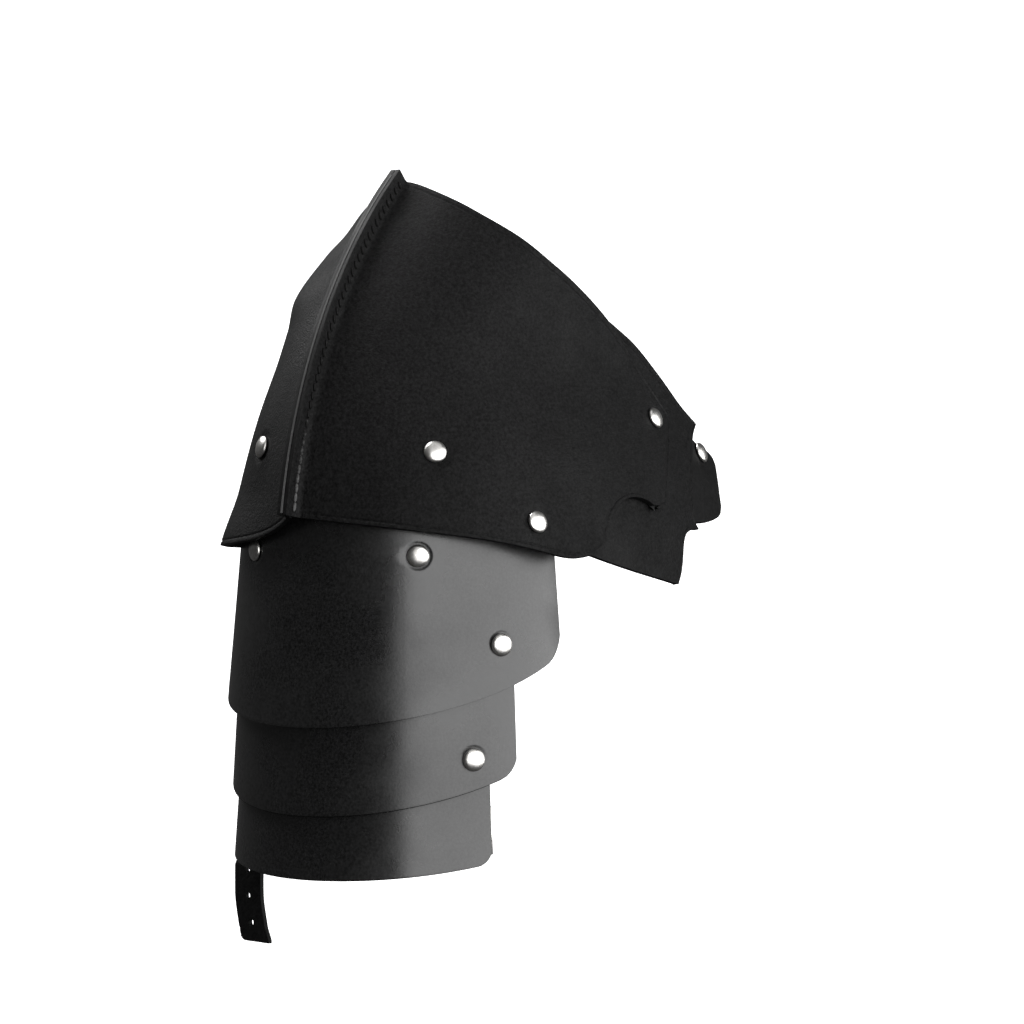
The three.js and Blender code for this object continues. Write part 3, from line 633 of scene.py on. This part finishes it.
def makePanel(name, side):
    rivets = [rivet for rivet in capRivets if rivet["side"] == side]
    shares = panelShares(side)
    finTurns = panelGrid["finColumns"]
    foldTurns = panelGrid["foldColumns"]
    finY = -side * (cap["halfGap"] + cap["leather"])
    lowW = panelEnd(side, 1)[0]
    lowCorners = [(s * lowW, panelZ(side, 1, s)) for s in steps(0, 1, panelGrid["columns"])]
    outline = makeOutline([tuple(panelEnd(side, share)) for share in shares] + lowCorners[::-1])

    def pointAt(column, row):
        share = shares[row]
        endW, endZ = panelEnd(side, share)
        seamZ = blendTo(cap["topZ"], cap["bottomZ"], share)
        reach = min(cap["foldReach"], endW / 2)

        def onFin(out):
            point = ridgePoint(seamZ, out)
            return Vector((point.x, finY, point.z))

        def onPanel(s):
            w = s * endW
            z = panelZ(side, share, s)
            point = capFace(side, w, z)
            pressed = creased(outline, w, z) * smooth(w / cap["creaseFadeIn"])
            lift = wave(point, cap["waveLength"], cap["waveHeight"]) * smooth(w / cap["waveFadeIn"])
            lift -= pressedIn(point, rivets, rivetMake["capReach"]) + pressed
            return point + capNormal(side, w, z) * lift

        if column < finTurns:
            return onFin(blendTo(cap["finHeight"], cap["foldReach"], column / finTurns))
        firstShare = reach / endW
        if column <= finTurns + foldTurns:
            u = (column - finTurns) / foldTurns
            start, bend, end = onFin(cap["foldReach"]), onFin(0), onPanel(firstShare)
            return start * (1 - u) ** 2 + bend * 2 * u * (1 - u) + end * u**2
        last = lastShares(max(endW, crease["shortestRow"]))
        k = column - finTurns - foldTurns
        if k > panelGrid["columns"]:
            return onPanel(last[k - panelGrid["columns"] - 1])
        return onPanel(blendTo(firstShare, beforeLast(last), k / panelGrid["columns"]))

    columns = finTurns + foldTurns + panelGrid["columns"] + creaseSteps
    piece = gridPiece(name, columns, len(shares) - 1, pointAt)
    faceOutward(piece, Vector((-0.5, -side, 0.3)))
    thicken(piece, cap["leather"], capLeather, cap["edgeRound"])
    return piece


settle(makePanel("cap_front_panel", 1), "cap_leather", "front_panel")
settle(makePanel("cap_back_panel", -1), "cap_leather", "back_panel")
print("cap panels made")

underlay = {
    "hiddenTopW": 112, "hiddenTopZ": -14, "hiddenBottomW": 108, "hiddenBottomZ": -126,
    "sag": 2.5, "sagPower": 4, "columns": 90, "rowsPerStretch": 9, "edgeRound": 0.55,
}
# columns: share, millimetres from the seam, height; a repeated share starts a new stretch after a corner
underlayEdge = [
    [(0, 130, -13), (0.05, 152, -19.3), (0.1, 172.3, -26.8), (0.16, 193, -34.8), (0.23, 225.4, -50),
     (0.31, 252.2, -64.3), (0.37, 271, -72.7)],
    [(0.37, 271, -72.7), (0.43, 265, -79), (0.52, 260.4, -91.2), (0.62, 257.7, -107.1), (0.72, 256.7, -124.5),
     (0.75, 260, -128.2)],
    [(0.75, 260, -128.2), (0.79, 252, -128.2), (0.83, 244.7, -130.4), (0.88, 241.3, -135.5),
     (0.93, 240.2, -142.2), (0.97, 238.3, -149.9), (1, 234.7, -156)],
]


def makeUnderlay():
    depth = cap["leather"] + cap["layerGap"]
    ends = []
    for stretch in underlayEdge:
        count = underlay["rowsPerStretch"] * (len(stretch) - 1)
        shares = steps(stretch[0][0], stretch[-1][0], count)
        ends += [(share, *curveThrough(stretch, share)) for share in shares[(1 if ends else 0):]]
    outline = makeOutline([(w, z) for _, w, z in ends])

    def pointAt(column, row):
        share, endW, endZ = ends[row]
        startW = blendTo(underlay["hiddenTopW"], underlay["hiddenBottomW"], share)
        startZ = blendTo(underlay["hiddenTopZ"], underlay["hiddenBottomZ"], share)
        last = lastShares(endW - startW)
        k = column - underlay["columns"]
        s = last[k - 1] if k > 0 else beforeLast(last) * column / underlay["columns"]
        sag = underlay["sag"] * share ** underlay["sagPower"]
        z = blendTo(startZ, endZ, s) - sag * math.sin(math.pi * s)
        w = blendTo(startW, endW, s)
        point = capFace(1, w, z)
        lift = wave(point, cap["waveLength"], cap["waveHeight"]) - depth
        lift -= creased(outline, w, z)
        return point + capNormal(1, w, z) * lift

    columns = underlay["columns"] + creaseSteps
    piece = gridPiece("cap_second_layer", columns, len(ends) - 1, pointAt)
    faceOutward(piece, Vector((-0.3, -1, 0)))
    thicken(piece, cap["leather"], capLeather, underlay["edgeRound"])
    return piece


settle(makeUnderlay(), "cap_leather", "front_underlay")

tab = {"rows": 26, "rowsPerStretch": 8, "waveLength": 20, "wave": 0.2, "edgeRound": 0.55}
# columns: millimetres from the seam, upper edge's height, lower edge's height
tabEdge = [
    (203, -61, -98), (220, -64, -110), (240, -69, -119), (258, -75, -123.5), (275, -80, -124),
    (290, -84, -122.5), (302, -88.5, -119.5), (306, -93, -115),
]


def makeTab():
    places = []
    for (w0, _, _), (w1, _, _) in zip(tabEdge, tabEdge[1:]):
        places += steps(w0, w1, tab["rowsPerStretch"])[(1 if places else 0):]

    def pointAt(column, row):
        w = places[row]
        topZ, bottomZ = curveThrough(tabEdge, w)
        z = blendTo(topZ, bottomZ, column / tab["rows"])
        point = capPoint(1, w, z, tabDepth)
        lift = wave(point, tab["waveLength"], tab["wave"])
        lift -= pressedIn(point, [tabRivet], rivetMake["capReach"])
        return point + capNormal(1, w, z) * lift

    piece = gridPiece("chest_tab_leather", tab["rows"], len(places) - 1, pointAt)
    faceOutward(piece, Vector((0, -1, 0)))
    thicken(piece, rivetMake["strap"], strapLeather, tab["edgeRound"])
    return piece


settle(makeTab(), "strap_leather", "chest_tab")
print("second layer and tab made")


def packedSteps(low, high, coarse, centres, reach, fine):
    # places from low to high, closer together near some centres
    places = [low]
    while places[-1] < high:
        here = places[-1]
        near = any(abs(here - centre) < reach for centre in centres)
        places.append(min(here + (fine if near else coarse), high))
    return places


def makeLame(k):
    lame = lames[k]
    perMm = 180 / (math.pi * lameRadius(lame, lame["bottom"]))
    through = [rivet for rivet in lameRivets if rivet["lame"] == k]
    tall = lame["top"] - lame["bottom"]
    reach = rivetMake["lameReach"] + lameSet["fineMargin"]
    angles = packedSteps(
        -lame["back"], lame["front"], lameSet["grid"] * perMm,
        [rivet["angle"] for rivet in through] + [-lame["back"], lame["front"]],
        reach * perMm, lameSet["fineGrid"] * perMm,
    )
    shares = packedSteps(
        0, 1, lameSet["grid"] / tall, [(lame["top"] - rivet["z"]) / tall for rivet in through],
        reach * lameSet["fineDown"] / tall, lameSet["fineGrid"] / tall,
    )

    def cornerLift(radius, distance):
        if distance >= radius:
            return 0
        inward = blendTo(lameSet["cornerStart"], radius, distance / radius)
        return radius - math.sqrt(radius**2 - (radius - inward) ** 2)

    def pointAt(column, row):
        angle = angles[column]
        distance = max(min(angle + lame["back"], lame["front"] - angle) / perMm, 0)
        top = lame["top"] - cornerLift(lameSet["topCorner"], distance)
        bottom = lame["bottom"] + lame["rise"] * angle**2 + cornerLift(lame["corner"], distance)
        z = blendTo(top, bottom, shares[row])
        point = armPoint(angle, lameRadius(lame, z), z)
        push = wave(point, lameSet["waveLength"], lameSet["wave"])
        return point + armPoint(angle, push - pressedIn(point, through, rivetMake["lameReach"]), 0)

    piece = gridPiece(lame["name"] + "_leather", len(angles) - 1, len(shares) - 1, pointAt)
    faceOutward(piece, Vector((-1, 0, 0)))
    thicken(piece, lameSet["leather"], lameLeather, lameSet["edgeRound"])
    return piece


for k, lame in enumerate(lames):
    settle(makeLame(k), "lame_leather", lame["name"])
print("lames made")


def shapeRivet(stack):
    # turned from a circle: tail cap, shank, then the domed head, each ring extruded from the last
    make = rivetMake
    tailZ = -stack - make["tailGap"]
    domeHeight = make["headHeight"] - make["rim"]
    dome = [
        (make["headRadius"] * math.cos(turn), make["seat"] + make["rim"] + domeHeight * math.sin(turn))
        for turn in (math.radians(degrees) for degrees in range(0, 90, make["domeStep"]))
    ]
    profile = [
        (make["tailRadius"] * make["tailFlat"], tailZ - make["tailHeight"]),
        (make["tailRadius"], tailZ - make["tailHeight"] * make["tailShoulder"]),
        (make["tailRadius"], tailZ),
        (make["shankRadius"], tailZ),
        (make["shankRadius"], make["seat"]),
        (make["headRadius"] - make["undercut"], make["seat"]),
        (make["headRadius"], make["seat"] + make["rimRise"]),
    ] + dome
    radius, z = profile[0]
    bpy.ops.mesh.primitive_circle_add(
        vertices=make["sides"], radius=radius * mm, fill_type="NGON", location=(0, 0, z * mm)
    )
    piece = bpy.context.object
    bpy.ops.object.transform_apply(location=True)
    bpy.ops.object.mode_set(mode="EDIT")
    bpy.ops.mesh.select_all(action="SELECT")
    for nextRadius, nextZ in profile[1:]:
        bpy.ops.mesh.extrude_region_move(TRANSFORM_OT_translate={"value": (0, 0, (nextZ - z) * mm)})
        share = nextRadius / radius
        bpy.ops.transform.resize(value=(share, share, 1), center_override=(0, 0, nextZ * mm))
        radius, z = nextRadius, nextZ
    bpy.ops.mesh.select_all(action="SELECT")
    bpy.ops.mesh.normals_make_consistent(inside=False)
    bpy.ops.object.mode_set(mode="OBJECT")
    bpy.ops.object.shade_smooth_by_angle(angle=math.radians(make["smoothUnder"]))
    return piece


def makeRivets():
    for rivet in allRivets:
        piece = shapeRivet(rivet["stack"])
        piece.name = piece.data.name = rivet["name"] + "_metal"
        sunk = rivet["point"] - rivet["out"] * (rivetMake["dentDepth"] * rivetMake["sinkShare"])
        turn = Vector((0, 0, 1)).rotation_difference(rivet["out"]).to_matrix().to_4x4()
        piece.data.transform(Matrix.Translation(sunk * mm) @ turn)
        piece.data.materials.append(rivetMetal)
        settle(piece, "rivet_metal", rivet["name"])


makeRivets()
print("rivets made")


# the copies of the plain solids: how they are welded, flattened and rounded
dressing = {
    "weld": 0.01, "flatUnder": 0.4, "segments": 2, "sharperThan": 50, "smoothUnder": 35,
    "strapRound": 0.4, "tabRound": 0.3, "buckleRound": 0.5,
}


def dressNode(nodeName, pieceName, material, slotName, edgeRound):
    # a welded copy of a plain solid, with its cut edges rounded
    bpy.ops.object.select_all(action="DESELECT")
    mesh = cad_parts[nodeName].data.copy()
    piece = bpy.data.objects.new(pieceName, mesh)
    mesh.name = pieceName
    bpy.context.scene.collection.objects.link(piece)
    bpy.context.view_layer.objects.active = piece
    piece.select_set(True)
    mesh.materials.clear()
    mesh.materials.append(material)
    bpy.ops.object.mode_set(mode="EDIT")
    bpy.ops.mesh.select_all(action="SELECT")
    bpy.ops.mesh.remove_doubles(threshold=dressing["weld"] * mm)
    bpy.ops.mesh.dissolve_limited(angle_limit=math.radians(dressing["flatUnder"]))
    bpy.ops.object.mode_set(mode="OBJECT")
    rounded = piece.modifiers.new("rounded", "BEVEL")
    rounded.width = edgeRound * mm
    rounded.segments = dressing["segments"]
    rounded.limit_method = "ANGLE"
    rounded.angle_limit = math.radians(dressing["sharperThan"])
    bpy.ops.object.modifier_apply(modifier="rounded")
    bpy.ops.object.shade_smooth_by_angle(angle=math.radians(dressing["smoothUnder"]))
    settle(piece, slotName, nodeName)


for strapName in ("inner_strap_front", "inner_strap_back"):
    dressNode(strapName, strapName + "_leather", strapLeather, "strap_leather", dressing["strapRound"])
dressNode("buckle_tab", "buckle_tab_leather", strapLeather, "strap_leather", dressing["tabRound"])
dressNode("arm_buckle", "arm_buckle_metal", rivetMetal, "rivet_metal", dressing["buckleRound"])
print("straps and buckle dressed")

# the arm strap: it hangs from a rivet, turns to face outward, swings out below the lame and curls
armStrap = {
    "top": -228.5, "end": -336.5, "width": 20, "angle": -66, "turn": 56, "inset": 9.8, "turnFrom": -244,
    "turnTo": -284, "swing": 9.5, "swingFrom": -285, "swingTo": -299, "curl": 4, "curlFrom": -312,
    "columns": 24, "rows": 120, "corner": 4.5, "flick": 2.2, "flickFrom": -328,
    "holeRadius": 1.75, "lowestHole": -327, "holePitch": 13.3, "holes": 4,
    "waveLength": 16, "wave": 0.25, "edgeRound": 0.4, "rivet": "rivet_lower_back",
}


def passed(z, high, low):
    return smooth((high - z) / (high - low))


def strapLine(z):
    inside = lameRadius(lames[2], max(z, lames[2]["bottom"])) - lameSet["leather"] - lameSet["gap"]
    turned = passed(z, armStrap["turnFrom"], armStrap["turnTo"])
    facing = armStrap["angle"] + armStrap["turn"] * turned
    radius = inside - armStrap["inset"] * turned
    radius += armStrap["swing"] * passed(z, armStrap["swingFrom"], armStrap["swingTo"])
    across = armPoint(facing + 90, 1, 0)
    curl = armStrap["curl"] * passed(z, armStrap["curlFrom"], armStrap["end"])
    centre = armPoint(armStrap["angle"], radius, z) + across * curl
    return centre, across, armPoint(facing, 1, 0), (1 - turned) / (2 * inside)


# the hidden pin that cuts a hole and is then thrown away
punchPin = {"sides": 24, "length": 12}


def punch(piece, centre, out, radius):
    # a round hole through a wall
    bpy.ops.mesh.primitive_cylinder_add(
        vertices=punchPin["sides"], radius=radius * mm, depth=punchPin["length"] * mm, location=centre * mm
    )
    pin = bpy.context.object
    pin.rotation_mode = "QUATERNION"
    pin.rotation_quaternion = Vector((0, 0, 1)).rotation_difference(out)
    pin.data.materials.append(cutEdge)
    bpy.context.view_layer.objects.active = piece
    cut = piece.modifiers.new("hole", "BOOLEAN")
    cut.operation = "DIFFERENCE"
    cut.solver = "EXACT"
    cut.material_mode = "TRANSFER"
    cut.object = pin
    bpy.ops.object.modifier_apply(modifier="hole")
    bpy.data.objects.remove(pin)


def makeArmStrap():
    half = armStrap["width"] / 2

    def pointAt(column, row):
        share = blendTo(-1, 1, column / armStrap["columns"])
        z = blendTo(armStrap["top"], armStrap["end"], row / armStrap["rows"])
        centre, across, out, bend = strapLine(z)
        beside = share * half
        toCorner = armStrap["corner"] - (half - abs(beside))
        if toCorner > 0 and share < 0:
            lift = armStrap["corner"] - math.sqrt(max(armStrap["corner"] ** 2 - toCorner**2, 0))
            z += lift * passed(z, armStrap["flickFrom"], armStrap["end"])
        if share > 0:
            beside += armStrap["flick"] * share**3 * passed(z, armStrap["flickFrom"], armStrap["end"])
        point = centre + across * beside - out * (bend * beside**2)
        return Vector((point.x, point.y, z)) + out * wave(point, armStrap["waveLength"], armStrap["wave"])

    piece = gridPiece("arm_strap_leather", armStrap["columns"], armStrap["rows"], pointAt)
    faceOutward(piece, strapLine(armStrap["turnTo"])[2])
    coat(piece, strapLeather)
    thickenOnly(piece, rivetMake["strap"])
    for k in range(armStrap["holes"]):
        centre, _, out, _ = strapLine(armStrap["lowestHole"] + k * armStrap["holePitch"])
        punch(piece, centre, out, armStrap["holeRadius"])
    rivet = next(rivet for rivet in lameRivets if rivet["name"] == armStrap["rivet"])
    punch(piece, rivet["point"], rivet["out"], rivetMake["shankRadius"] + rivetMake["holeGap"])
    roundEdges(piece, armStrap["edgeRound"])
    settle(piece, "strap_leather", "arm_strap")


makeArmStrap()
print("arm strap made")

stitch = {
    "pitch": 4.6, "length": 4.5, "thick": 1.7, "out": 2.4, "proud": 0.1, "slant": 20,
    "fromZ": 40, "toZ": -118, "segments": 12, "rings": 8, "blunt": 0.75,
}


def makeStitches(name, side):
    # each stitch starts as a ball one across, so its sizes can be given as a scale
    first, last = ridgeAngle(stitch["fromZ"]), ridgeAngle(stitch["toZ"])
    count = round((first - last) * (cap["arcRadius"] + stitch["out"]) / stitch["pitch"])
    beside = -side * (cap["halfGap"] + cap["leather"] + stitch["proud"])
    made = []
    for angle in steps(first, last, count):
        bpy.ops.mesh.primitive_uv_sphere_add(
            segments=stitch["segments"], ring_count=stitch["rings"], radius=0.5
        )
        piece = bpy.context.object
        for vertex in piece.data.vertices:
            vertex.co.z = math.copysign(abs(vertex.co.z * 2) ** stitch["blunt"] / 2, vertex.co.z)
        size = Matrix.Diagonal((stitch["thick"], stitch["thick"], stitch["length"], 1))
        slant = Matrix.Rotation(math.radians(stitch["slant"]) * side, 4, "Y")
        along = Matrix.Rotation(math.pi - angle, 4, "Y")
        place = arcPoint(angle, stitch["out"], beside)
        piece.data.transform(Matrix.Scale(mm, 4) @ Matrix.Translation(place) @ along @ slant @ size)
        made.append(piece)
    bpy.ops.object.select_all(action="DESELECT")
    for piece in made:
        piece.select_set(True)
    bpy.context.view_layer.objects.active = made[0]
    bpy.ops.object.join()
    row = bpy.context.object
    row.name = row.data.name = name
    row.data.materials.append(waxedThreadPaintedShade)
    bpy.ops.object.shade_smooth()
    settle(row, "strap_leather")


makeStitches("seam_stitches_front", 1)
makeStitches("seam_stitches_back", -1)


seamLine = {
    "fromTop": 3, "fromBottom": 1, "rows": 80, "columns": 4, "halfWidth": 0.55, "proud": 0.25, "thick": 0.5,
    "smoothUnder": 30,
}


def makeSeamLine():
    # the pale strip that shows as a line along the ridge, between the two turned-out edges
    zs = steps(cap["topZ"] - seamLine["fromTop"], cap["bottomZ"] + seamLine["fromBottom"], seamLine["rows"])

    def pointAt(column, row):
        point = ridgePoint(zs[row], cap["finHeight"] + seamLine["proud"])
        half = seamLine["halfWidth"]
        return Vector((point.x, blendTo(-half, half, column / seamLine["columns"]), point.z))

    piece = gridPiece("seam_join_line", seamLine["columns"], seamLine["rows"], pointAt)
    faceOutward(piece, Vector((-1, 0, 0)))
    piece.data.materials.append(paleSeamStrip)
    wall = piece.modifiers.new("wall", "SOLIDIFY")
    wall.thickness = seamLine["thick"] * mm
    wall.offset = -1
    bpy.ops.object.modifier_apply(modifier="wall")
    bpy.ops.object.shade_smooth_by_angle(angle=math.radians(seamLine["smoothUnder"]))
    settle(piece, "strap_leather")


makeSeamLine()
print("seam stitched")

# a pale sweep and soft lamps
studio = {
    "floorZ": -620, "reach": 6000, "wallAway": 2600, "sweep": 900, "bendSteps": 12, "columns": 4,
    "pale": 0.9, "roughness": 0.9, "glow": 1.1, "room": 0.06,
}


def makeFloor():
    profile = [(-studio["reach"], 0), (studio["wallAway"] - studio["sweep"], 0)]
    for k in range(1, studio["bendSteps"] + 1):
        turn = math.pi / 2 * k / studio["bendSteps"]
        profile.append((
            studio["wallAway"] - studio["sweep"] * (1 - math.sin(turn)),
            studio["sweep"] * (1 - math.cos(turn)),
        ))
    profile.append((studio["wallAway"], studio["reach"]))

    def pointAt(column, row):
        away, up = profile[row]
        side = blendTo(-studio["reach"], studio["reach"], column / studio["columns"])
        place = viewDirection * away + viewRight * side
        return Vector((place.x, place.y, studio["floorZ"] + up))

    piece = gridPiece("studio_sweep", studio["columns"], len(profile) - 1, pointAt)
    faceOutward(piece, Vector((0, 0, 1)) - viewDirection)
    bpy.ops.object.shade_smooth()
    material, nodes, _ = newMaterial("pale_sweep")
    shader = nodes["Principled BSDF"]
    shader.inputs["Base Color"].default_value = (studio["pale"],) * 3 + (1,)
    shader.inputs["Roughness"].default_value = studio["roughness"]
    shader.inputs["Emission Color"].default_value = (1, 1, 1, 1)
    shader.inputs["Emission Strength"].default_value = studio["glow"]
    piece.data.materials.append(material)
    piece.visible_glossy = False
    piece.visible_diffuse = False


# angle is degrees from the camera round to the picture's right
# up is the lamp's height over the part's middle, and width and height are in metres
lamps = [
    {"name": "side_panel", "angle": 52, "away": 1250, "up": 150, "width": 4, "height": 1.6, "power": 75},
    {"name": "top_panel", "angle": 20, "away": 700, "up": 1500, "width": 1.6, "height": 1.6, "power": 6},
    {"name": "back_left_panel", "angle": -115, "away": 900, "up": 1250, "width": 0.9, "height": 1.2,
     "power": 48},
]


def makeLamps():
    middle = Vector(view["lookAt"])
    for lamp in lamps:
        turn = math.radians(lamp["angle"])
        away = -viewDirection * math.cos(turn) + viewRight * math.sin(turn)
        place = middle + away * lamp["away"] + Vector((0, 0, lamp["up"]))
        bpy.ops.object.light_add(type="AREA", location=place * mm)
        light = bpy.context.object
        light.name = lamp["name"]
        light.data.shape = "RECTANGLE"
        light.data.size = lamp["width"]
        light.data.size_y = lamp["height"]
        light.data.energy = lamp["power"]
        light.rotation_euler = (middle - place).to_track_quat("-Z", "Y").to_euler()
    world = bpy.data.worlds.new("soft_room")
    bpy.context.scene.world = world
    world.use_nodes = True
    room = world.node_tree.nodes["Background"]
    room.inputs["Color"].default_value = (1, 1, 1, 1)
    room.inputs["Strength"].default_value = studio["room"]
    bpy.context.scene.view_settings.view_transform = "Standard"


makeFloor()
makeLamps()
print("studio lit")
